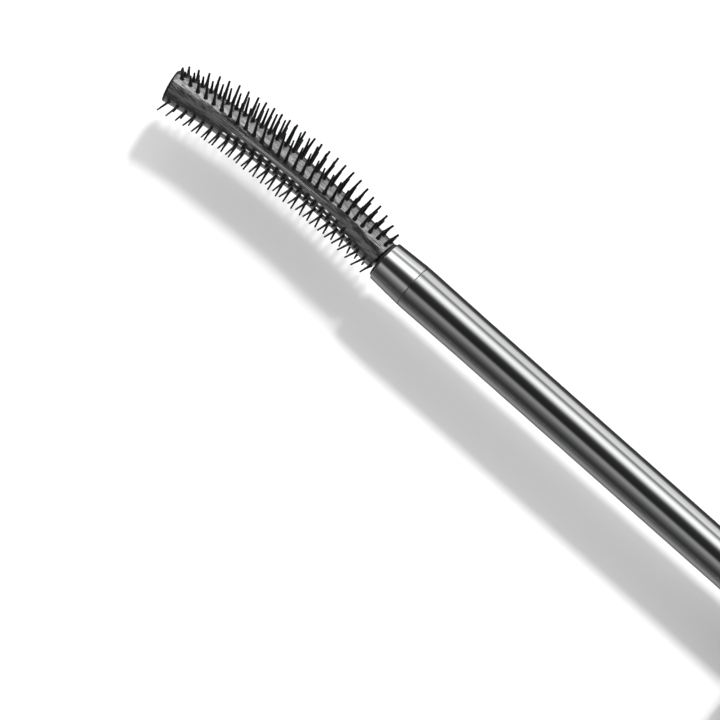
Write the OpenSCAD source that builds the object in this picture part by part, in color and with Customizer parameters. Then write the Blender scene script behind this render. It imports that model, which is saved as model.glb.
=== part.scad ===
// Opened mascara: a slim metal-shelled bottle and its applicator wand, both lying on a table in line,
// the wand drawn out of the bottle. All axes run along X, the brush points to -X and +Z is up.

/* [Brush] */
// Length of the moulded brush beyond the ferrule
brush_len = 28.2; // [26:0.1:30]
// Outer diameter of the bristle sleeve, without its bristles
sleeve_d = 3.5; // [3.2:0.1:3.6]
// Radius of the brush's bend
bend_radius = 85.5; // [70:0.5:200]
// Distance from the ferrule to the crest of the bend
bend_crest = 10.4; // [6:0.1:14]
// How far the crest of the bend stands off the stem's axis
crest_rise = 0.75; // [0.5:0.05:1]
// Number of bristle rings along the brush
rings = 27; // [10:1:27]
// Distance between bristle rings
ring_pitch = 1.02; // [0.95:0.01:1.02]
// Length of the longest bristles
long_bristle = 2.15; // [1.5:0.05:2.25]
// Length of the short bristles on the inner side of the bend
short_bristle = 1.55; // [0.8:0.05:1.6]
// Diameter of a bristle at its root
bristle_root_d = 0.34; // [0.2:0.01:0.4]
// Diameter of a bristle at its tip
bristle_tip_d = 0.16; // [0.1:0.01:0.2]

/* [Stem] */
// Diameter of the metal stem
stem_d = 4.8; // [4.6:0.05:5]
// Diameter of the ferrule where the brush leaves it
ferrule_tip_d = 4.5; // [4.3:0.05:4.7]
// Length of the ferrule
ferrule_len = 3.9; // [3:0.1:6]
// Length of stem that shows in front of the cap
stem_exposed = 54; // [40:1:60]

/* [Cap] */
// Diameter of the cap and of the bottle
body_d = 16; // [16:0.1:18]
// Length of the cap
cap_len = 50; // [45:1:60]
// Thickness of the metal shells
shell_t = 0.45; // [0.3:0.05:0.5]

/* [Bottle] */
// Length of the bottle from its base to its shoulder
bottle_len = 89; // [89:1:96]
// Height of the neck above the shoulder
neck_len = 11; // [11:0.5:12]
// Radius of the bore through the neck
neck_bore_r = 4.8; // [4.8:0.05:4.9]
// Radius of the chamber
chamber_r = 5.9; // [5.8:0.05:6.2]

/* [Thread] */
// Pitch of the neck's thread
thread_pitch = 2.5; // [2.5:0.1:2.6]
// Turns of thread on the neck
thread_turns = 1.25; // [1.25:0.05:1.3]

/* [Layout] */
// Gap from the brush's root to the bottle's rim while the wand is drawn out
drawn_gap = 50; // [35:1:80]

/* [Hidden] */
$fn = 96;

body_r = body_d / 2;
shell_in_r = body_r - shell_t;
fit = 0.05;

// The wand's stations, from the ferrule's front face at x = 0.
cap_mouth = stem_exposed;
cap_end = cap_mouth + cap_len;
inner_cap_mouth = cap_mouth + 0.6;

// The bottle's stations, from its base at 0, and where the rim lies when the wand is drawn out.
rim = bottle_len + neck_len;
bottle_x = -drawn_gap - rim;
closed_gap = 0.3;

// The whole is centred on the origin along X and rests on z = 0.
center_x = (bottle_x + cap_end) / 2;

// Neck and thread.
neck_root_r = 5.6;
thread_crest_r = 6.15;
collar_r = 6.2;
collar_len = 2.5;
female_root_r = 6.4;
female_crest_r = 5.85;
thread_root_w = 1.3;
thread_crest_w = 0.5;
thread_start = bottle_len + 4.9;
flange_t = 0.6;
washer_t = 1;
ceiling = cap_mouth - closed_gap + neck_len + washer_t + fit;
female_start = cap_mouth - closed_gap + (thread_start - bottle_len) - thread_pitch / 2;
unscrew_deg = thread_turns * 360 + 20;
cap_rise = thread_pitch * unscrew_deg / 360;

steel = [0.62, 0.63, 0.65];
black = [0.09, 0.09, 0.1];

// ---- Helpers ----

// A turned shape on the X axis from [station, radius] points.
module turned(points) {
    rotate([0, 90, 0]) rotate_extrude() polygon([for (p = points) [p[1], p[0]]]);
}

// A tube on the X axis.
module tube(x0, x1, outer_r, inner_r) {
    turned([[x0, inner_r], [x1, inner_r], [x1, outer_r], [x0, outer_r]]);
}

// A helical ridge on the X axis; it fades in and out over its first and last steps.
module thread_ridge(start, turns, root_r, crest_r) {
    step = 10;
    fade = 4;
    last = round(turns * 360 / step);
    function height(i) = min(1, 0.15 + min(i, last - i) / fade);
    function edge_r(i) = root_r + (crest_r - root_r) * height(i);
    function at(i, along, r) = let (a = i * step)
        [start + thread_pitch * a / 360 + along, r * cos(a), r * sin(a)];
    points = [for (i = [0:last]) each [
        at(i, -thread_root_w / 2, root_r), at(i, -thread_crest_w / 2, edge_r(i)),
        at(i, thread_crest_w / 2, edge_r(i)), at(i, thread_root_w / 2, root_r)
    ]];
    sides = [for (i = [0:last - 1], k = [0:3]) let (n = (k + 1) % 4)
        [4 * i + k, 4 * i + n, 4 * i + 4 + n, 4 * i + 4 + k]];
    ends = [[3, 2, 1, 0], [for (k = [0:3]) 4 * last + k]];
    inward = crest_r < root_r;
    faces = concat(sides, ends);
    polyhedron(points, [for (f = faces) inward ? [for (k = [len(f) - 1:-1:0]) f[k]] : f]);
}

// ---- Brush ----

// Angle along the bend at distance s from the ferrule.
function bend_angle(s) = (s - bend_crest) / bend_radius * 180 / PI;

// Puts its children at distance s along the brush, with -X towards the tip and +Y out of the bend.
module at_bend(s) {
    a = bend_angle(s);
    translate([-bend_crest - bend_radius * sin(a), crest_rise - bend_radius * (1 - cos(a)), 0])
        rotate([0, 0, a]) children();
}

// A bent tube along the brush.
module bent_tube(s0, s1, outer_r, inner_r) {
    translate([-bend_crest, crest_rise - bend_radius, 0])
        rotate([0, 0, 90 + bend_angle(s0)])
            rotate_extrude(angle = bend_angle(s1) - bend_angle(s0), $fn = 360)
                translate([bend_radius, 0]) difference() {
                    circle(r = outer_r, $fn = 64);
                    if (inner_r > 0) circle(r = inner_r, $fn = 64);
                }
}

sleeve_r = sleeve_d / 2;
core_r = 1;
root_stop = 0.45;
// The core's round flange, which shuts the ferrule's mouth.
flange_r = 2;
function ring_s(i) = root_stop + ring_pitch / 2 + i * ring_pitch;
// Rows of bristles round the sleeve: angle from the top, share of full length, first and last ring.
// 90 is out of the bend and -90 is into it.
long_shares = [[34, 0.75], [62, 0.85], [90, 1], [118, 0.95], [146, 0.85]];
long_rows = [for (r = long_shares) [r[0], r[1], 0, rings - 1]];
inner_rows = [[-62, 1, 0, rings - 1], [-118, 1, 0, rings - 1]];
stub_rows = [[-42, 0.3, 4, rings - 9], [-22, 0.22, 7, rings - 8]];

// Long bristles grow from the ends to the middle of the brush.
function long_len(u) = long_bristle * (0.28 + 0.72 * pow(sin(180 * (0.07 + 0.86 * u)), 0.75));
// Short bristles stay nearly even.
function short_len(u) = short_bristle * (0.72 + 0.28 * sin(180 * u));
// Bristles lean to the ferrule at the root and fan out to the tip.
function fan(u) = -4 + 28 * pow(u, 1.6);

// One bristle at distance s, on the sleeve at angle around from the top, leaning towards the tip.
module bristle(s, around, lean, length) {
    embed = 0.06;
    at_bend(s) rotate([-around, 0, 0]) translate([0, 0, sleeve_r]) rotate([0, -lean, 0])
        translate([0, 0, -embed])
            cylinder(h = length + embed, r1 = bristle_root_d / 2, r2 = bristle_tip_d / 2, $fn = 16);
}

module bristle_rows(rows, long) {
    for (row = rows, i = [row[2]:row[3]]) {
        u = i / (rings - 1);
        bristle(ring_s(i), row[0], fan(u), row[1] * (long ? long_len(u) : short_len(u)));
    }
}

module bristle_sleeve() {
    tip_wall = 0.3;
    under_r = sleeve_r - 0.1;
    ring_in_r = under_r - 0.2;
    ring_w = ring_pitch - 0.04;
    tip = brush_len - tip_wall;
    tip_r = under_r - 0.02;
    color(black) union() {
        bent_tube(root_stop, tip, under_r, core_r + 0.02);
        for (i = [0:rings - 1]) at_bend(ring_s(i)) tube(-ring_w / 2, ring_w / 2, sleeve_r, ring_in_r);
        at_bend(tip) rotate([0, 0, 180])
            turned([[-0.05, 0], [tip_wall, 0], [tip_wall, 1], [0.2, 1.3], [0.05, tip_r], [-0.05, tip_r]]);
        bristle_rows(long_rows, true);
        bristle_rows(inner_rows, false);
        bristle_rows(stub_rows, false);
    }
}

module brush_core() {
    plug_r = 1.3;
    plug_end = 7;
    color(black) union() {
        bent_tube(-0.2, brush_len - 0.4, core_r, 0);
        turned([
            [-0.25, 0], [-0.25, flange_r - 0.05], [-0.2, flange_r], [-0.04, flange_r], [-0.04, plug_r],
            [plug_end - 0.4, plug_r], [plug_end, plug_r - 0.3], [plug_end, 0]
        ]);
    }
}

// ---- Stem ----

rod_r = 2;
// The stem is a little thicker where the ferrule and the sleeve meet.
seam_r = stem_d / 2 + 0.06;
module stem_ferrule() {
    color(steel) turned([
        [0, 1.95], [0, ferrule_tip_d / 2 - 0.12], [0.04, ferrule_tip_d / 2 - 0.05],
        [0.14, ferrule_tip_d / 2], [ferrule_len - 0.05, seam_r], [ferrule_len - 0.05, rod_r + 0.02],
        [0.4, rod_r + 0.02], [0.4, 1.95]
    ]);
}

module stem_sleeve() {
    r = stem_d / 2;
    color(steel) turned([
        [ferrule_len, rod_r + 0.02], [ferrule_len, seam_r - 0.03], [ferrule_len + 0.05, seam_r],
        [ferrule_len + 8, r], [ceiling + 6, r], [ceiling + 6, rod_r + 0.02]
    ]);
}

module stem_rod() {
    plug_r = 1.32;
    plug_depth = 7.1;
    end = ceiling + 9;
    color(black) turned([
        [0.1, plug_r], [0.1, 1.93], [0.42, 1.93], [0.42, rod_r], [end - 2.4, rod_r], [end - 2.4, 2.3],
        [end, rod_r - 0.2], [end, 0], [plug_depth, 0], [plug_depth, plug_r]
    ]);
}

// ---- Cap ----

module inner_cap() {
    outer_r = shell_in_r - fit;
    hub_r = 4;
    hub_end = ceiling + 9.5;
    groove = inner_cap_mouth + 0.8;
    color(black) union() {
        turned([
            [inner_cap_mouth, 6.5], [inner_cap_mouth, outer_r - 0.2], [inner_cap_mouth + 0.3, outer_r],
            [ceiling + 2, outer_r], [ceiling + 2, hub_r], [hub_end, hub_r], [hub_end, rod_r + 0.35],
            [ceiling + 6.05, rod_r + 0.35], [ceiling + 6.05, stem_d / 2 + 0.02],
            [ceiling, stem_d / 2 + 0.02], [ceiling, female_root_r], [groove + 1, female_root_r],
            [groove + 1, 7.16], [groove, 7.16], [groove, 6.5]
        ]);
        rotate([unscrew_deg, 0, 0]) thread_ridge(female_start, 1, female_root_r + 0.12, female_crest_r);
    }
}

module soft_close_ring() {
    section_r = 0.45;
    translate([inner_cap_mouth + 1.3, 0, 0]) color([0.15, 0.15, 0.16])
        rotate([0, 90, 0]) rotate_extrude() translate([collar_r + 0.04 + section_r, 0])
            circle(r = section_r, $fn = 32);
}

module liner_washer() {
    x = ceiling - fit - washer_t - cap_rise;
    color([0.85, 0.85, 0.83]) tube(x, x + washer_t, 5.5, stem_d / 2 + 0.04);
}

weight_end = ceiling + 18.7;
module cap_weight() {
    x0 = ceiling + 2.05;
    x1 = ceiling + 9.7;
    color([0.5, 0.5, 0.5]) turned([
        [x0, 4.1], [x1, 4.1], [x1, 0], [weight_end, 0], [weight_end, 7.1], [weight_end - 0.4, 7.5],
        [x0 + 0.4, 7.5], [x0, 7.1]
    ]);
}

// The two metal end plates share one shape: a chamfered flange and a spigot that fits the shell.
plate_t = 0.8;
spigot_len = 2.2;
recess_r = 6.6;
recess_t = 0.15;
spigot_in_r = 6.9;
module end_plate(recessed) {
    spigot_r = shell_in_r - fit;
    face = recessed ? [[recess_t, 0], [recess_t, recess_r], [0, recess_r]] : [[0, 0]];
    turned(concat(face, [
        [0, body_r - 0.35], [0.1, body_r - 0.12], [0.35, body_r], [plate_t, body_r],
        [plate_t, spigot_r], [plate_t + spigot_len - 0.3, spigot_r],
        [plate_t + spigot_len, spigot_r - 0.3], [plate_t + spigot_len, spigot_in_r],
        [plate_t, spigot_in_r], [plate_t, 0]
    ]));
}

module cap_shell() {
    edge = 0.12;
    x1 = cap_end - plate_t - 0.03;
    color(steel) turned([
        [cap_mouth, shell_in_r + edge], [cap_mouth, body_r - edge], [cap_mouth + edge, body_r],
        [x1 - 0.05, body_r], [x1, body_r - 0.05], [x1, shell_in_r], [cap_mouth + edge, shell_in_r]
    ]);
}

module cap_spacer() {
    color(black) turned([
        [weight_end + 0.05, 4], [weight_end + 0.05, 7.5], [cap_end - plate_t - spigot_len - 0.05, 7.5],
        [cap_end - plate_t - spigot_len - 0.05, 6.5], [weight_end + 1.5, 6.5], [weight_end + 1.5, 4]
    ]);
}

module cap_top_plate() {
    color(steel) translate([cap_end, 0, 0]) rotate([0, 0, 180]) end_plate(false);
}

// ---- Bottle ----

// Height of the chamber's floor above the base.
vial_floor = 5;
module bottle_vial() {
    outer_r = shell_in_r - 0.1;
    shoulder_x = bottle_len - 1.3;
    color([0.75, 0.77, 0.78]) union() {
        turned([
            [3.2, 0], [3.2, outer_r - 0.6], [3.8, outer_r], [shoulder_x, outer_r],
            [shoulder_x, collar_r], [bottle_len + collar_len, collar_r],
            [bottle_len + collar_len + 0.3, neck_root_r], [rim - flange_t - 0.3, neck_root_r],
            [rim - flange_t, neck_root_r - 0.3], [rim - flange_t, neck_bore_r],
            [bottle_len - 2, neck_bore_r], [bottle_len - 4, chamber_r], [vial_floor + 1, chamber_r],
            [vial_floor, chamber_r - 1], [vial_floor, 0]
        ]);
        thread_ridge(thread_start, thread_turns, neck_root_r - 0.12, thread_crest_r);
    }
}

module bottle_sleeve() {
    x0 = plate_t + 0.03;
    x1 = bottle_len - 1.25;
    color(steel) turned([
        [x0, shell_in_r], [x0, body_r - 0.05], [x0 + 0.05, body_r], [x1, body_r], [x1, shell_in_r]
    ]);
}

module shoulder_ring() {
    x0 = bottle_len - 1.22;
    color(steel) turned([
        [x0, collar_r + 0.04], [x0, body_r], [bottle_len - 0.35, body_r], [bottle_len - 0.1, body_r - 0.1],
        [bottle_len, body_r - 0.35], [bottle_len, collar_r + 0.04]
    ]);
}

module wiper() {
    tube_r = neck_bore_r - 0.02;
    entry_r = 4.25;
    lip_r = 2.3;
    rim_r = 5.4;
    lip = bottle_len - 3.4;
    color([0.3, 0.3, 0.31]) turned([
        [rim, entry_r + 0.3], [rim, rim_r], [rim - flange_t + 0.02, rim_r], [rim - flange_t + 0.02, tube_r],
        [bottle_len + 1.6, tube_r], [lip + 0.6, lip_r + 0.55], [lip, lip_r + 0.3], [lip, lip_r],
        [lip + 0.5, lip_r], [bottle_len + 2, entry_r], [rim - 0.4, entry_r]
    ]);
}

module mascara_paste() {
    wall_r = chamber_r - 0.03;
    channel_r = 4.95;
    bottom = vial_floor + 0.05;
    channel_end = vial_floor + 0.9;
    color([0.03, 0.03, 0.03]) turned([
        [bottom, 0], [bottom, wall_r - 1], [bottom + 1.05, wall_r], [bottle_len - 9, wall_r],
        [bottle_len - 7, channel_r + 0.1], [channel_end + 0.5, channel_r], [channel_end, channel_r - 0.35],
        [channel_end, 0]
    ]);
}

module base_cap() {
    color(steel) end_plate(true);
}

module base_weight() {
    color([0.5, 0.5, 0.5]) tube(plate_t + 0.05, plate_t + spigot_len - 0.05, spigot_in_r - 0.05, 0);
}

module base_label() {
    label_t = 0.1;
    color([0.9, 0.9, 0.88]) tube(recess_t - label_t - 0.005, recess_t - 0.005, recess_r - 0.15, 0);
}

// ---- The assembly, at rest ----

module placed(x) {
    translate([x - center_x, 0, body_r]) children();
}

placed(0) bristle_sleeve();
placed(0) brush_core();
placed(0) stem_ferrule();
placed(0) stem_sleeve();
placed(0) stem_rod();
placed(0) inner_cap();
placed(0) cap_weight();
placed(0) cap_spacer();
placed(0) cap_shell();
placed(0) cap_top_plate();
placed(0) liner_washer();
placed(0) soft_close_ring();
placed(bottle_x) bottle_vial();
placed(bottle_x) bottle_sleeve();
placed(bottle_x) shoulder_ring();
placed(bottle_x) wiper();
placed(bottle_x) mascara_paste();
placed(bottle_x) base_cap();
placed(bottle_x) base_weight();
placed(bottle_x) base_label();
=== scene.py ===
"""An opened mascara lying on a pale surface: the capped wand drawn out of its bottle, in line with it."""

import math

import bpy
import numpy as np
from mathutils import Matrix, Vector


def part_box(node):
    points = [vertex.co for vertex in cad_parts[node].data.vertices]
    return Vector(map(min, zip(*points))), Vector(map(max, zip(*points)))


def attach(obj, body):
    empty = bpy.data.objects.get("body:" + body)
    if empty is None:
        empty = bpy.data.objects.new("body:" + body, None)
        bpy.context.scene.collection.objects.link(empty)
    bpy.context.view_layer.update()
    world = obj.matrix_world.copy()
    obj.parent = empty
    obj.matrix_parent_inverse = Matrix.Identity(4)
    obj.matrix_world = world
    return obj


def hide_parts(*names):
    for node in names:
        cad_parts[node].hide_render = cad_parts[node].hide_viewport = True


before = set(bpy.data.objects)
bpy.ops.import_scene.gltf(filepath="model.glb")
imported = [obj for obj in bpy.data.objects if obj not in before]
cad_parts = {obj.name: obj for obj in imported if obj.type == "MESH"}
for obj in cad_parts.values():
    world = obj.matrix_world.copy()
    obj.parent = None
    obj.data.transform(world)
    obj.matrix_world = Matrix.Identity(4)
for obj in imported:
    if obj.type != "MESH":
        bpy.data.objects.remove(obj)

MM = 0.001
rng = np.random.default_rng(7)


def as_lists(box):
    return [[float(v) for v in corner] for corner in box]


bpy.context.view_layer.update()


def node_box(node):
    """A node's box as two lists of numbers, in millimetres."""
    return [[v / MM for v in corner] for corner in as_lists(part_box(node))]


# The common axis of bottle and wand, and the end of the ferrule that the brush leaves.
_, AXIS_Y, AXIS_Z = [(a + b) / 2 for a, b in zip(*node_box("cap_shell"))]
FERRULE_X = node_box("stem_ferrule")[0][0]


# ---- Materials ----

COAT_ROUGHNESS = 0.08
GRAIN_ROUGHNESS = 0.6


def material(name, color, metallic=0.0, roughness=0.5, specular=0.5, tint=None, coat=0.0,
             spread=0.0, mottle=0.0, grain=400.0, bump=0.0, stretch=(1.0, 1.0, 1.0), ior=1.5,
             detail=6.0):
    """A surface with procedural grain. Spread varies its roughness, mottle its colour; bump is in metres."""
    m = bpy.data.materials.new(name)
    m.use_nodes = True
    nodes, links = m.node_tree.nodes, m.node_tree.links
    shader = nodes["Principled BSDF"]
    shader.inputs["Base Color"].default_value = (*color, 1)
    shader.inputs["Metallic"].default_value = metallic
    shader.inputs["Roughness"].default_value = roughness
    shader.inputs["Specular IOR Level"].default_value = specular
    shader.inputs["Coat Weight"].default_value = coat
    shader.inputs["Coat Roughness"].default_value = COAT_ROUGHNESS
    shader.inputs["IOR"].default_value = ior
    if tint is not None:
        shader.inputs["Specular Tint"].default_value = (*tint, 1)
    place = nodes.new("ShaderNodeTexCoord")
    mapping = nodes.new("ShaderNodeMapping")
    mapping.inputs["Scale"].default_value = stretch
    noise = nodes.new("ShaderNodeTexNoise")
    noise.inputs["Scale"].default_value = grain
    noise.inputs["Detail"].default_value = detail
    noise.inputs["Roughness"].default_value = GRAIN_ROUGHNESS
    links.new(place.outputs["Object"], mapping.inputs["Vector"])
    links.new(mapping.outputs["Vector"], noise.inputs["Vector"])
    if spread:
        rough = nodes.new("ShaderNodeMapRange")
        rough.inputs["From Min"].default_value = 0.3
        rough.inputs["From Max"].default_value = 0.7
        rough.inputs["To Min"].default_value = roughness - spread
        rough.inputs["To Max"].default_value = roughness + spread
        links.new(noise.outputs["Fac"], rough.inputs["Value"])
        links.new(rough.outputs["Result"], shader.inputs["Roughness"])
    if mottle:
        ramp = nodes.new("ShaderNodeValToRGB")
        ramp.color_ramp.elements[0].position = 0.35
        ramp.color_ramp.elements[1].position = 0.65
        ramp.color_ramp.elements[0].color = (*[c * (1 - mottle) for c in color], 1)
        ramp.color_ramp.elements[1].color = (*[min(1, c * (1 + mottle)) for c in color], 1)
        links.new(noise.outputs["Fac"], ramp.inputs["Fac"])
        links.new(ramp.outputs["Color"], shader.inputs["Base Color"])
    if bump:
        height = nodes.new("ShaderNodeBump")
        height.inputs["Strength"].default_value = 1
        height.inputs["Distance"].default_value = bump
        links.new(noise.outputs["Fac"], height.inputs["Height"])
        links.new(height.outputs["Normal"], shader.inputs["Normal"])
    return m


METAL_TINT = (0.25, 0.25, 0.26)
metal = material("polished_metal", (0.66, 0.665, 0.67), metallic=1, roughness=0.09, tint=METAL_TINT,
                 spread=0.02, grain=900, mottle=0.02, bump=2e-7, stretch=(0.15, 1, 1))
sleeve_black = material("bristle_sleeve_rubber", (0.014, 0.014, 0.015), roughness=0.24, spread=0.06,
                        mottle=0.6, grain=2600, bump=1.1e-4, ior=3.3, coat=0.3, stretch=(0.3, 1, 1),
                        detail=1.5)
rib_black = material("sleeve_rib_rubber", (0.03, 0.03, 0.031), roughness=0.16, specular=1.0, spread=0.05,
                     mottle=0.3, grain=1500, bump=5e-6, ior=3.6)
line_black = material("mould_line_rubber", (0.02, 0.02, 0.021), roughness=0.2, spread=0.05, mottle=0.3,
                      grain=1500, bump=2e-6, ior=3.2)
bristle_black = material("bristle_rubber", (0.006, 0.006, 0.0065), roughness=0.45, specular=0.25,
                         spread=0.1, mottle=0.4, grain=2500, bump=6e-6)
core_black = material("core_plastic", (0.012, 0.012, 0.013), roughness=0.35, spread=0.08, mottle=0.3,
                      grain=900, bump=4e-6)
gloss_black = material("gloss_black_plastic", (0.014, 0.014, 0.015), roughness=0.2, spread=0.06,
                       mottle=0.3, grain=700, bump=2e-6)
grey_metal = material("weight_metal", (0.32, 0.32, 0.33), metallic=1, roughness=0.45, spread=0.1,
                      mottle=0.15, grain=500, bump=1e-5)
foam = material("washer_foam", (0.82, 0.82, 0.8), roughness=0.8, spread=0.1, mottle=0.06, grain=2500,
                bump=3e-5)
ring_rubber = material("ring_rubber", (0.03, 0.03, 0.031), roughness=0.55, spread=0.1, mottle=0.3,
                       grain=1800, bump=6e-6)
wiper_plastic = material("wiper_plastic", (0.42, 0.42, 0.43), roughness=0.32, spread=0.08, mottle=0.06,
                         grain=900, bump=3e-6, coat=0.2)
paste = material("mascara_paste", (0.006, 0.006, 0.006), roughness=0.25, specular=0.6, spread=0.15,
                 mottle=0.4, grain=600, bump=2e-4)
sticker = material("blank_sticker", (0.8, 0.8, 0.78), roughness=0.7, spread=0.08, mottle=0.03,
                   grain=1500, bump=4e-6)

CARRIED = {
    "brush_core": core_black, "stem_rod": core_black, "inner_cap": gloss_black, "cap_weight": grey_metal,
    "cap_spacer": core_black, "liner_washer": foam, "soft_close_ring": ring_rubber,
    "bottle_vial": gloss_black, "wiper": wiper_plastic, "mascara_paste": paste,
    "base_weight": grey_metal, "base_label": sticker,
}
for node, look in CARRIED.items():
    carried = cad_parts[node]
    if not carried.material_slots:
        carried.data.materials.append(look)
    for slot in carried.material_slots:
        slot.material = look


# ---- Mesh helpers ----

def piece(name, verts, faces, look, body, node=None, sharp_deg=35.0):
    """A smooth-shaded mesh from points in millimetres, riding on a body and standing for a CAD node."""
    mesh = bpy.data.meshes.new(name)
    mesh.from_pydata([tuple(c * MM for c in v) for v in verts], [], faces)
    mesh.validate()
    mesh.materials.append(look)
    obj = bpy.data.objects.new(name, mesh)
    bpy.context.collection.objects.link(obj)
    mesh.polygons.foreach_set("use_smooth", [True] * len(mesh.polygons))
    mesh.set_sharp_from_angle(angle=math.radians(sharp_deg))
    mesh.update()
    if body:
        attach(obj, body)
    if node:
        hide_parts(node)
    return obj


def rounded(profile, steps=4):
    """A closed profile of (x, radius, fillet) corners with each corner rounded by its fillet."""
    out = []
    n = len(profile)
    for i, (x, r, fillet) in enumerate(profile):
        here = np.array([x, r])
        if not fillet:
            out.append(here)
            continue
        before = np.array(profile[i - 1][:2]) - here
        after = np.array(profile[(i + 1) % n][:2]) - here
        before_len, after_len = np.linalg.norm(before), np.linalg.norm(after)
        cut = min(fillet, before_len * 0.45, after_len * 0.45)
        p, q = here + before / before_len * cut, here + after / after_len * cut
        guard = min(0.03, cut * 0.5)
        out.append(here + before / before_len * (cut + guard))
        for k in range(steps + 1):
            t = k / steps
            out.append((1 - t) ** 2 * p + 2 * t * (1 - t) * here + t ** 2 * q)
        out.append(here + after / after_len * (cut + guard))
    return out


def lathe(name, profile, look, body, node, segments):
    """A closed profile turned about the common axis. Points on the axis close into one vertex."""
    points = rounded(profile)
    verts, rings = [], []
    for x, r in points:
        if r < 1e-6:
            rings.append([len(verts)])
            verts.append((x, AXIS_Y, AXIS_Z))
            continue
        rings.append(list(range(len(verts), len(verts) + segments)))
        for k in range(segments):
            a = 2 * math.pi * k / segments
            verts.append((x, AXIS_Y + r * math.cos(a), AXIS_Z + r * math.sin(a)))
    faces = []
    for i in range(len(rings)):
        one, two = rings[i], rings[(i + 1) % len(rings)]
        if len(one) == 1 and len(two) == 1:
            continue
        for k in range(segments):
            j = (k + 1) % segments
            if len(one) == 1:
                faces.append((one[0], two[k], two[j]))
            elif len(two) == 1:
                faces.append((one[k], two[0], one[j]))
            else:
                faces.append((one[k], two[k], two[j], one[j]))
    return piece(name, verts, faces, look, body, node)


# ---- Metal pieces ----

STEM_BORE_R = 2.03
SHELL_WALL = 0.44
PLATE_EDGE = 0.8
SPIGOT_IN_R, SPIGOT_CHAMFER_R, SPIGOT_R = 6.9, 7.2, 7.5
SPIGOT_CHAMFER = 0.3
COLLAR_HOLE_R = 6.24
LABEL_RECESS = 0.15
LABEL_R = 6.6
METAL_SIDES = 256


def outer(node):
    """A node's first and last station and its outer radius, in millimetres."""
    low, high = node_box(node)
    return low[0], high[0], (high[1] - low[1]) / 2


x0, x1, r = outer("stem_ferrule")
FERRULE_TIP_R, FERRULE_HOLE_R, FERRULE_LIP = 2.25, 1.95, 0.4
lathe("stem_ferrule_metal", [
    (x0, FERRULE_HOLE_R, 0.03), (x0, FERRULE_TIP_R, 0.16), (x1, r, 0.05), (x1, STEM_BORE_R, 0),
    (x0 + FERRULE_LIP, STEM_BORE_R, 0), (x0 + FERRULE_LIP, FERRULE_HOLE_R, 0)
], metal, "wand", "stem_ferrule", METAL_SIDES)

# The stem tapers by a hair over its first stretch.
STEM_TAPER_LEN, STEM_TAPER = 8, 0.06
x0, x1, r = outer("stem_sleeve")
lathe("stem_sleeve_metal", [
    (x0, STEM_BORE_R, 0), (x0, r, 0.05), (x0 + STEM_TAPER_LEN, r - STEM_TAPER, 0.5), (x1, r - STEM_TAPER, 0),
    (x1, STEM_BORE_R, 0)
], metal, "wand", "stem_sleeve", METAL_SIDES)

x0, x1, r = outer("cap_shell")
lathe("cap_shell_metal", [
    (x0, r - SHELL_WALL, 0.06), (x0, r, 0.12), (x1, r, 0.05), (x1, r - SHELL_WALL, 0)
], metal, "wand", "cap_shell", METAL_SIDES)

x0, x1, r = outer("cap_top_plate")
under = x1 - PLATE_EDGE
lathe("cap_top_plate_metal", [
    (x1, 0, 0), (under, 0, 0), (under, SPIGOT_IN_R, 0), (x0, SPIGOT_IN_R, 0), (x0, SPIGOT_CHAMFER_R, 0.1),
    (x0 + SPIGOT_CHAMFER, SPIGOT_R, 0.1), (under, SPIGOT_R, 0), (under, r, 0.05), (x1, r, 0.35)
], metal, "wand", "cap_top_plate", METAL_SIDES)

x0, x1, r = outer("bottle_sleeve")
lathe("bottle_sleeve_metal", [
    (x0, r - SHELL_WALL, 0), (x0, r, 0.05), (x1, r, 0.05), (x1, r - SHELL_WALL, 0)
], metal, "bottle", "bottle_sleeve", METAL_SIDES)

x0, x1, r = outer("shoulder_ring")
lathe("shoulder_ring_metal", [
    (x0, COLLAR_HOLE_R, 0), (x0, r, 0.04), (x1, r, 0.35), (x1, COLLAR_HOLE_R, 0.04)
], metal, "bottle", "shoulder_ring", METAL_SIDES)

x0, x1, r = outer("base_cap")
recess, above = x0 + LABEL_RECESS, x0 + PLATE_EDGE
lathe("base_cap_metal", [
    (recess, 0, 0), (recess, LABEL_R, 0.03), (x0, LABEL_R, 0.05), (x0, r, 0.35), (above, r, 0.05),
    (above, SPIGOT_R, 0), (x1 - SPIGOT_CHAMFER, SPIGOT_R, 0.1), (x1, SPIGOT_CHAMFER_R, 0.1),
    (x1, SPIGOT_IN_R, 0), (above, SPIGOT_IN_R, 0), (above, 0, 0)
], metal, "bottle", "base_cap", METAL_SIDES)


# ---- Brush ----

BRUSH_LEN = 28.2
BEND_R, CREST_S, CREST_RISE = 85.5, 10.4, 0.75
SLEEVE_R = 1.75
SLEEVE_SIDES = 96
BRISTLE_SIDES = 9


def bend_frame(s):
    """The sleeve's centre at distance s from the ferrule, then the directions to the tip, out and up."""
    a = (s - CREST_S) / BEND_R
    centre = np.array([
        FERRULE_X - CREST_S - BEND_R * math.sin(a),
        AXIS_Y + CREST_RISE - BEND_R * (1 - math.cos(a)),
        AXIS_Z,
    ])
    tangent = np.array([-math.cos(a), -math.sin(a), 0])
    outward = np.array([-math.sin(a), math.cos(a), 0])
    return centre, tangent, outward, np.array([0, 0, 1.0])


def radial_at(s, around_deg):
    """The direction straight out of the sleeve at around_deg from the top."""
    _, _, outward, up = bend_frame(s)
    f = math.radians(around_deg)
    return math.cos(f) * up + math.sin(f) * outward


def on_sleeve(s, around_deg, radius):
    """The point at a radius from the sleeve's centre line."""
    return bend_frame(s)[0] + radius * radial_at(s, around_deg)


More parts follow.
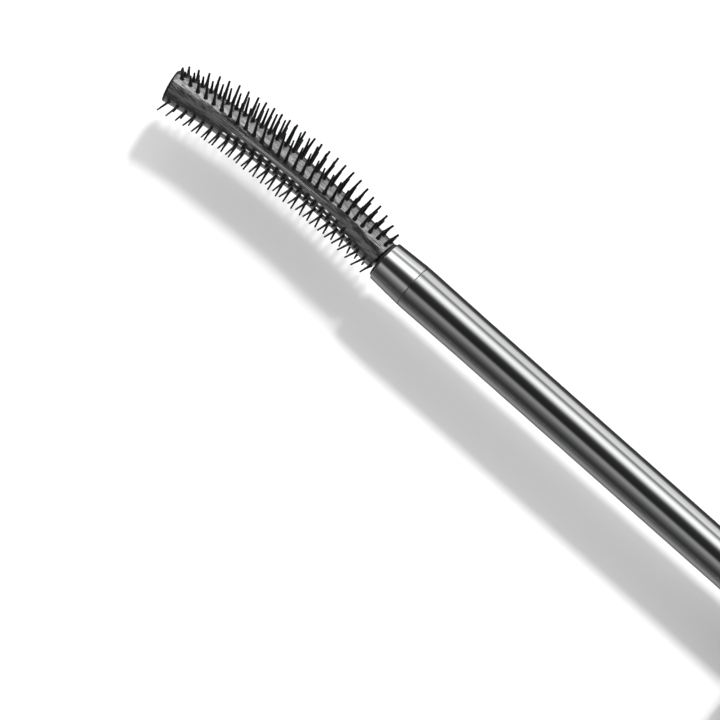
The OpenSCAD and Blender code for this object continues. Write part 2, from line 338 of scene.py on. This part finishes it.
def swept(stations):
    """A closed tube along the bend from (distance, radius) stations, its ends closed by a fan."""
    verts, faces, sides = [], [], SLEEVE_SIDES
    for s, r in stations:
        verts += [on_sleeve(s, 360 * k / sides, r) for k in range(sides)]
    for i in range(len(stations) - 1):
        for k in range(sides):
            j = (k + 1) % sides
            a, b = i * sides, (i + 1) * sides
            faces.append((a + k, b + k, b + j, a + j))
    for ring, flip in ((0, False), (len(stations) - 1, True)):
        hub = len(verts)
        verts.append(bend_frame(stations[ring][0])[0])
        for k in range(sides):
            j = (k + 1) % sides
            face = (hub, ring * sides + k, ring * sides + j)
            faces.append(face[::-1] if flip else face)
    return verts, faces


def bristle(s, root_deg, point_deg, lean_deg, length, root_r, tip_r):
    """One moulded bristle, rooted at root_deg round the sleeve and pointing at point_deg: a flared root, a
    taper with a slight bow, and a blunt rounded tip."""
    _, tangent, _, _ = bend_frame(s)
    radial = radial_at(s, point_deg)
    side = np.cross(tangent, radial)
    root = on_sleeve(s, root_deg, SLEEVE_R)
    levels = [(-0.12, root_r * 1.65), (0.02, root_r * 1.35), (0.12, root_r * 1.12), (0.25, root_r)]
    levels = [(h, r) for h, r in levels if h < length * 0.6]
    levels += [(length * t, root_r + (tip_r - root_r) * t ** 0.8) for t in (0.65, 0.85)]
    levels += [(length - tip_r * 0.9, tip_r * 1.04), (length - tip_r * 0.4, tip_r * 0.92),
               (length - tip_r * 0.1, tip_r * 0.55)]
    verts, faces, sides = [], [], BRISTLE_SIDES
    bow = math.radians(rng.normal(0, 1.2))
    lean = math.radians(lean_deg)
    for h, r in levels:
        bent = lean + bow * max(h, 0) / length
        along = radial * math.cos(bent) + tangent * math.sin(bent)
        across = tangent * math.cos(bent) - radial * math.sin(bent)
        c = root + along * h
        verts += [
            c + r * (math.cos(2 * math.pi * k / sides) * across + math.sin(2 * math.pi * k / sides) * side)
            for k in range(sides)
        ]
    for i in range(len(levels) - 1):
        for k in range(sides):
            j = (k + 1) % sides
            a, b = i * sides, (i + 1) * sides
            faces.append((a + k, a + j, b + j, b + k))
    faces.append(tuple(range((len(levels) - 1) * sides, len(levels) * sides)))
    faces.append(tuple(range(sides - 1, -1, -1)))
    return verts, faces


def even(first, pitch, count):
    """Distances for count things, one pitch apart."""
    return [first + pitch * i for i in range(count)]


def at(knots, s):
    """A row's value at distance s, from its (distance, value) knots or one number."""
    return float(np.interp(s, *zip(*knots))) if isinstance(knots, list) else knots


def spaced(knots):
    """Distances for bristles 0, 1, 2 and so on, from (number, distance) knots."""
    return [at(knots, i) for i in range(knots[-1][0] + 1)]


CREST = spaced([(0, 1.07), (7, 8.3), (14, 15.13), (15, 16.0), (19, 19.75), (26, 27.05), (27, 27.75)])
CREST_LEN = [(1.2, 0.95), (2.2, 1.21), (3.3, 1.46), (5.3, 1.83), (7.4, 2.06), (10, 2.18), (14, 2.16),
             (18, 2.08), (21, 1.98), (23, 1.81), (24, 1.64), (25.1, 1.4), (26.2, 1.11), (27.2, 0.92),
             (27.9, 0.4)]
CREST_LEAN = [(1, -8), (4, -1), (8, 1), (13, 6), (17, 9), (21, 12), (24, 14), (25.5, 20), (27.9, 24)]


def behind(share, more_lean):
    """The crest row's lengths and leans, changed for a row behind it."""
    return [(s, v * share) for s, v in CREST_LEN], [(s, v + more_lean) for s, v in CREST_LEAN]


# Each row: distances from the ferrule, angle of the roots from the top, angle the bristles point at, their
# lengths, their leans towards the tip, and their radius at root and tip. The front row's roots wander round
# the sleeve, though all of its bristles point one way. 90 is out of the bend and -90 is into it.
ROWS = [
    (spaced([(0, 0.91), (12, 12.85), (19, 20.15), (26, 27.25)]),
     [(1, 38), (5, 20), (9, 12), (13, 9), (15, 8), (20.3, 15), (24.4, 26), (27.7, 45)], 60,
     [(1.3, 0.75), (3.2, 1.34), (4.1, 1.59), (6, 1.9), (8, 2.23), (10, 2.32), (14, 2.5), (16, 2.5), (20, 2.2),
      (24, 1.6), (27.7, 0.6)],
     [(1, 5), (3.5, 7), (7.5, 9), (13, 11), (17, 14), (21, 17), (27.7, 21)], 0.17, 0.09),
    (even(0.86, 1.012, 27), [(1, 62), (5, 55), (20, 55), (27, 60)], 62,
     [(1.1, 0.6), (2, 0.87), (3.1, 1.14), (4, 1.32), (6, 1.6), (8, 1.94), (10, 2.22), (13, 2.36), (16, 2.32),
      (18, 2.22), (20, 2.0), (22, 1.74), (24, 1.35), (26.2, 0.93), (27.3, 0.45)],
     [(1, -2), (7, 2), (13, 8), (20, 12), (24, 16), (27.7, 22)], 0.17, 0.1),
    (CREST, 90, 90, CREST_LEN, CREST_LEAN, 0.17, 0.115),
    ([s - 0.03 for s in CREST], 112, 112, *behind(0.74, 3), 0.17, 0.1),
    ([s + 0.1 for s in CREST], 134, 134, *behind(0.85, 2), 0.16, 0.09),
    (spaced([(0, 0.45), (7, 7.6), (19, 20.08), (26, 27.31)]), -62, -62, [(0.5, 1.34), (1.6, 1.57), (28, 1.6)],
     [(1, 9), (5, 10), (12, 9), (21, 9), (24, 14), (27.7, 18)], 0.14, 0.085),
    (spaced([(0, 1.41), (6, 7.88), (19, 21.21), (24, 26.54)]), -118, -118,
     [(1.5, 0.66), (2.6, 0.86), (3.8, 1.09), (4.9, 1.21), (7, 1.39), (10.2, 1.72), (13, 1.82), (21.4, 1.51),
      (22.4, 1.53), (24.6, 1.11), (26.7, 0.66)],
     [(1, -5), (3.5, -10), (7, -11), (10, -8), (16, 0), (21, 6), (25, 9), (27.7, 10)], 0.14, 0.085),
    (even(4.95, 1.02, 15), -31, -26, 0.38, 5, 0.13, 0.1),
    (even(2.9, 1.02, 18), -47, -43, 0.45, 5, 0.13, 0.1),
]

verts, faces = [], []


def add(part):
    """Adds one part's points and faces to the lists being filled."""
    base = len(verts)
    verts.extend(part[0])
    faces.extend(tuple(base + i for i in f) for f in part[1])


for places, roots, point_deg, lengths, leans, root_r, tip_r in ROWS:
    for place in places:
        length = at(lengths, place) * (1 + rng.normal(0, 0.02))
        s = place + rng.normal(0, 0.02)
        lean = at(leans, place) + rng.normal(0, 1.0)
        add(bristle(s, at(roots, place) + rng.normal(0, 0.8), point_deg, lean, length, root_r, tip_r))
bristles = piece("bristles", verts, faces, bristle_black, "wand", sharp_deg=60)

# The sleeve starts just clear of the ferrule. Its far end has a fine groove, a lip and a rounded face.
end = BRUSH_LEN
stations = [(0.45, SLEEVE_R - 0.15), (0.5, SLEEVE_R - 0.02)]
stations += [(s, SLEEVE_R) for s in np.linspace(0.56, end - 0.42, 120)]
stations += [(end - 0.38, SLEEVE_R - 0.01), (end - 0.34, SLEEVE_R - 0.07), (end - 0.3, SLEEVE_R - 0.07),
             (end - 0.27, SLEEVE_R), (end - 0.2, SLEEVE_R), (end - 0.14, SLEEVE_R - 0.03),
             (end - 0.1, SLEEVE_R - 0.1), (end - 0.05, 1.2), (end - 0.01, 0.5)]
verts, faces = swept(stations)
skin = piece("bristle_sleeve_skin", verts, faces, sleeve_black, "wand", "bristle_sleeve", sharp_deg=50)
# The very end, from the groove on, is matt like the bristles.
MATT_LEN = 0.31
skin.data.materials.append(bristle_black)
matt_from = SLEEVE_SIDES * sum(s < end - MATT_LEN for s, _ in stations)
for face in skin.data.polygons:
    if min(face.vertices) >= matt_from:
        face.material_index = 1


RIB_STEP = 0.12
RIB_MIN_STEPS = 6
# A rib's ends start at this share of its full size and grow by this much per millimetre.
RIB_END_SIZE = 0.2
RIB_GROWTH = 6.25


def rib(s0, s1, around, profile):
    """A low rib along the sleeve, its ends tapering into it. Around is in degrees, or (distance, degrees)
    knots, and the profile is (distance round the sleeve, height) points."""
    steps = max(RIB_MIN_STEPS, int((s1 - s0) / RIB_STEP))
    sides, verts, faces = len(profile), [], []
    for i in range(steps + 1):
        t = i / steps
        s = s0 + (s1 - s0) * t
        end_size = min(1, RIB_END_SIZE + RIB_GROWTH * min(t, 1 - t) * (s1 - s0))
        for aside, height in profile:
            turned_by = math.degrees(aside * end_size / SLEEVE_R)
            radius = SLEEVE_R + height * (end_size if height > 0 else 1)
            verts.append(on_sleeve(s, at(around, s) + turned_by, radius))
    for i in range(steps):
        for k in range(sides):
            j = (k + 1) % sides
            a, b = i * sides, (i + 1) * sides
            faces.append((a + k, b + k, b + j, a + j))
    faces.append(tuple(range(sides)))
    faces.append(tuple(range((steps + 1) * sides - 1, steps * sides - 1, -1)))
    return verts, faces


# Fine lengthwise lines left by the mould, and the short ledges between the stubs on the inner side of the
# bend. The angles are from the top, out of the bend positive.
MOULD_LINE = [(3, 4), (7, -7), (10, -12), (14, -14), (17, -13.5), (20, -9), (24, -2), (27.5, 9)]
LINE_PROFILE = [(0.06, -0.02), (0.045, 0.0), (0.01, 0.024), (-0.01, 0.026), (-0.04, 0.0), (-0.05, -0.02)]
LEDGE_PROFILE = [(0.1, -0.04), (0.085, 0.0), (0.005, 0.11), (-0.02, 0.12), (-0.08, 0.08), (-0.14, -0.04)]
LOW_PROFILE = [(0.09, -0.04), (0.065, 0.0), (0.02, 0.125), (-0.01, 0.135), (-0.07, 0.09), (-0.13, -0.04)]
verts, faces = [], []
for first, last, turn_deg in ((8, 26.5, 0), (10, 19, -4), (19.5, 27, 5), (22, 27, 10)):
    add(rib(first, last, [(s, v + turn_deg) for s, v in MOULD_LINE], LINE_PROFILE))
lines = piece("mould_lines", verts, faces, line_black, "wand", sharp_deg=15)
HIGH_LEDGES_DEG = -29.5
LOW_LEDGES = [(4, -45), (9, -47.5), (12, -50), (16, -50), (21, -46)]
LEDGE_LEN = 0.58
verts, faces = [], []
for around, places, profile in (
    (HIGH_LEDGES_DEG, even(6.15, 1.02, 14), LEDGE_PROFILE),
    (LOW_LEDGES, even(4.05, 1.02, 17), LOW_PROFILE),
):
    for place in places:
        size = rng.uniform(0.6, 1.05)
        shape = [(aside, height * size if height > 0 else height) for aside, height in profile]
        add(rib(place + rng.normal(0, 0.03), place + LEDGE_LEN + rng.normal(0, 0.06), around, shape))
ledges = piece("sleeve_ledges", verts, faces, rib_black, "wand", sharp_deg=30)


# ---- Stage ----

FLOOR_HALF = 12000.0
FLOOR_Z = -0.02
WALL_R, WALL_H, WALL_SIDES = 11500.0, 4000.0, 96
CARD_HALF = 3000.0
CARD_Z = 0.02


def sheet(name, half, z, look):
    """A flat square that belongs to the stage."""
    corners = [(-half, -half, z), (half, -half, z), (half, half, z), (-half, half, z)]
    obj = piece(name, corners, [(0, 1, 2, 3)], look, None)
    return obj


def glow(name, level):
    """An evenly glowing material, and its tree and emission shader."""
    m = bpy.data.materials.new(name)
    m.use_nodes = True
    tree = m.node_tree
    tree.nodes.clear()
    emit = tree.nodes.new("ShaderNodeEmission")
    emit.inputs["Color"].default_value = (level, level, level, 1)
    out = tree.nodes.new("ShaderNodeOutputMaterial")
    tree.links.new(emit.outputs["Emission"], out.inputs["Surface"])
    return m, tree, emit


def fill_ramp(ramp, stops):
    """Sets a ramp's stops from sorted (position, grey) pairs."""
    while len(ramp.elements) < len(stops):
        ramp.elements.new(0.5)
    for element, (position, _) in zip(ramp.elements, stops):
        element.position = position
    for element, (_, level) in zip(ramp.elements, stops):
        element.color = (level, level, level, 1)


floor_look = material("pale_floor", (0.9, 0.9, 0.9), roughness=0.9, specular=0.1, mottle=0.004, grain=30)
sheet("floor", FLOOR_HALF, FLOOR_Z, floor_look)

# A pale wall far behind, which only the camera sees.
verts = [(WALL_R * math.cos(a), WALL_R * math.sin(a), z)
         for z in (-1.0, WALL_H) for a in np.linspace(0, 2 * math.pi, WALL_SIDES, endpoint=False)]
faces = []
for i in range(WALL_SIDES):
    j = (i + 1) % WALL_SIDES
    faces.append((i, j, WALL_SIDES + j, WALL_SIDES + i))
wall = piece("wall", verts, faces, glow("pale_wall", 0.96)[0], None)
wall.visible_diffuse = wall.visible_glossy = wall.visible_shadow = False

# A glowing card on the floor that only glossy surfaces mirror: a painted reflection, bands of grey standing
# in for the table being darker in bands along the object. Grey levels by the direction from the axis to it,
# in degrees from straight up, +Y positive.
CARD = [
    (-92, 0.1), (-95, 0.12), (-106, 0.24), (-119, 0.46), (-134, 0.5), (-150, 0.5), (-170, 0.45),
    (170, 0.4), (150, 0.3), (134, 0.1), (119, 0.1), (111, 0.25), (105, 0.75), (99, 0.95), (92, 0.95)
]
look, tree, emit = glow("painted_reflection_card", 0.5)
coords = tree.nodes.new("ShaderNodeTexCoord")
split = tree.nodes.new("ShaderNodeSeparateXYZ")
angle = tree.nodes.new("ShaderNodeMath")
angle.operation = "ARCTAN2"
angle.inputs[1].default_value = AXIS_Z * MM
turn = tree.nodes.new("ShaderNodeMapRange")
turn.inputs["From Min"].default_value = -math.pi / 2
turn.inputs["From Max"].default_value = math.pi / 2
ramp = tree.nodes.new("ShaderNodeValToRGB")
fill_ramp(ramp.color_ramp, [(((180 - d if d > 0 else -180 - d) + 90) / 180, level) for d, level in CARD])
tree.links.new(coords.outputs["Object"], split.inputs["Vector"])
tree.links.new(split.outputs["Y"], angle.inputs[0])
tree.links.new(angle.outputs["Value"], turn.inputs["Value"])
tree.links.new(turn.outputs["Result"], ramp.inputs["Fac"])
tree.links.new(ramp.outputs["Color"], emit.inputs["Color"])
card = sheet("painted_reflection_card", CARD_HALF, CARD_Z, look)
card.visible_camera = card.visible_diffuse = card.visible_shadow = False

scene = bpy.context.scene
scene.view_settings.view_transform = "Standard"

# The studio round the object, as grey levels by the direction's angle from straight up towards +Y.
SKY = [
    (-180, 0.08), (-95, 0.08), (-86, 0.075), (-76, 0.045), (-66, 0.05), (-58, 0.085), (-50, 0.13),
    (-42, 0.21), (-34, 0.30), (-27, 0.31), (-21, 0.16), (-15, 0.03), (-4, 0.02), (8, 0.03), (14, 0.05),
    (21, 0.17), (28, 0.62), (36, 1.15), (43, 1.4), (51, 1.25), (58, 0.8), (66, 0.26), (72, 0.4),
    (80, 0.95), (90, 1.0), (180, 1.0)
]
world = bpy.data.worlds.new("studio")
scene.world = world
world.use_nodes = True
nodes, links = world.node_tree.nodes, world.node_tree.links
coords = nodes.new("ShaderNodeTexCoord")
split = nodes.new("ShaderNodeSeparateXYZ")
angle = nodes.new("ShaderNodeMath")
angle.operation = "ARCTAN2"
turn = nodes.new("ShaderNodeMapRange")
turn.inputs["From Min"].default_value = -math.pi
turn.inputs["From Max"].default_value = math.pi
ramp = nodes.new("ShaderNodeValToRGB")
ramp.color_ramp.interpolation = "EASE"
fill_ramp(ramp.color_ramp, [((degrees + 180) / 360, level) for degrees, level in SKY])
links.new(coords.outputs["Generated"], split.inputs["Vector"])
links.new(split.outputs["Y"], angle.inputs[0])
links.new(split.outputs["Z"], angle.inputs[1])
links.new(angle.outputs["Value"], turn.inputs["Value"])
links.new(turn.outputs["Result"], ramp.inputs["Fac"])
links.new(ramp.outputs["Color"], nodes["Background"].inputs["Color"])
# It is brighter in a strip where the direction's X is about -0.3, and a little so round 0.
STRIP = [(-0.5, 1.0), (-0.34, 1.8), (-0.25, 1.8), (-0.14, 1.0), (-0.1, 1.0), (-0.06, 1.2), (0.1, 1.2),
         (0.3, 1.0)]
along_x = nodes.new("ShaderNodeMapRange")
along_x.inputs["From Min"].default_value = -1
along_x.inputs["From Max"].default_value = 1
strip = nodes.new("ShaderNodeValToRGB")
fill_ramp(strip.color_ramp, [((x + 1) / 2, level) for x, level in STRIP])
links.new(split.outputs["X"], along_x.inputs["Value"])
links.new(along_x.outputs["Result"], strip.inputs["Fac"])
links.new(strip.outputs["Color"], nodes["Background"].inputs["Strength"])


def sun(name, off_vertical_deg, strength, angle_deg):
    """A lamp off_vertical_deg from straight up, towards +Y. No glossy surface mirrors it."""
    lamp = bpy.data.lights.new(name, "SUN")
    lamp.energy = strength
    lamp.angle = math.radians(angle_deg)
    obj = bpy.data.objects.new(name, lamp)
    bpy.context.collection.objects.link(obj)
    t = math.radians(off_vertical_deg)
    obj.rotation_euler = Vector((0, math.sin(t), math.cos(t))).to_track_quat("Z", "Y").to_euler()
    obj.visible_glossy = False


sun("key", 38, 2.3, 6)
sun("fill", 0, 1.5, 170)


# ---- Camera ----

# The picture is PICTURE_MM wide at the aim, the camera leans TILT_DEG from straight above towards the cap,
# and the stem runs down the picture at STEM_RUN_DEG.
PICTURE_MM = 72.0
CAMERA_FAR = 900.0
TILT_DEG = 6.5
STEM_RUN_DEG = 41.57
AIM_X, AIM_Y = 4.78, -9.07
SENSOR_MM = 36
aim = Vector((FERRULE_X + AIM_X, AXIS_Y + AIM_Y, AXIS_Z)) * MM
t, run = math.radians(TILT_DEG), math.radians(STEM_RUN_DEG)
back = Vector((math.sin(t), 0, math.cos(t)))
along = Vector((math.cos(t), 0, -math.sin(t)))
aside = Vector((0, 1, 0))
right = along * math.cos(run) + aside * math.sin(run)
up = -along * math.sin(run) + aside * math.cos(run)
camera = bpy.data.objects.new("camera", bpy.data.cameras.new("camera"))
bpy.context.collection.objects.link(camera)
camera.data.sensor_width = SENSOR_MM
camera.data.lens = SENSOR_MM * CAMERA_FAR / PICTURE_MM
camera.data.clip_start = 0.01
camera.data.clip_end = 50
turned = Matrix((right, up, back)).transposed().to_4x4()
camera.matrix_world = Matrix.Translation(aim + back * CAMERA_FAR * MM) @ turned
scene.camera = camera

bpy.context.view_layer.update()
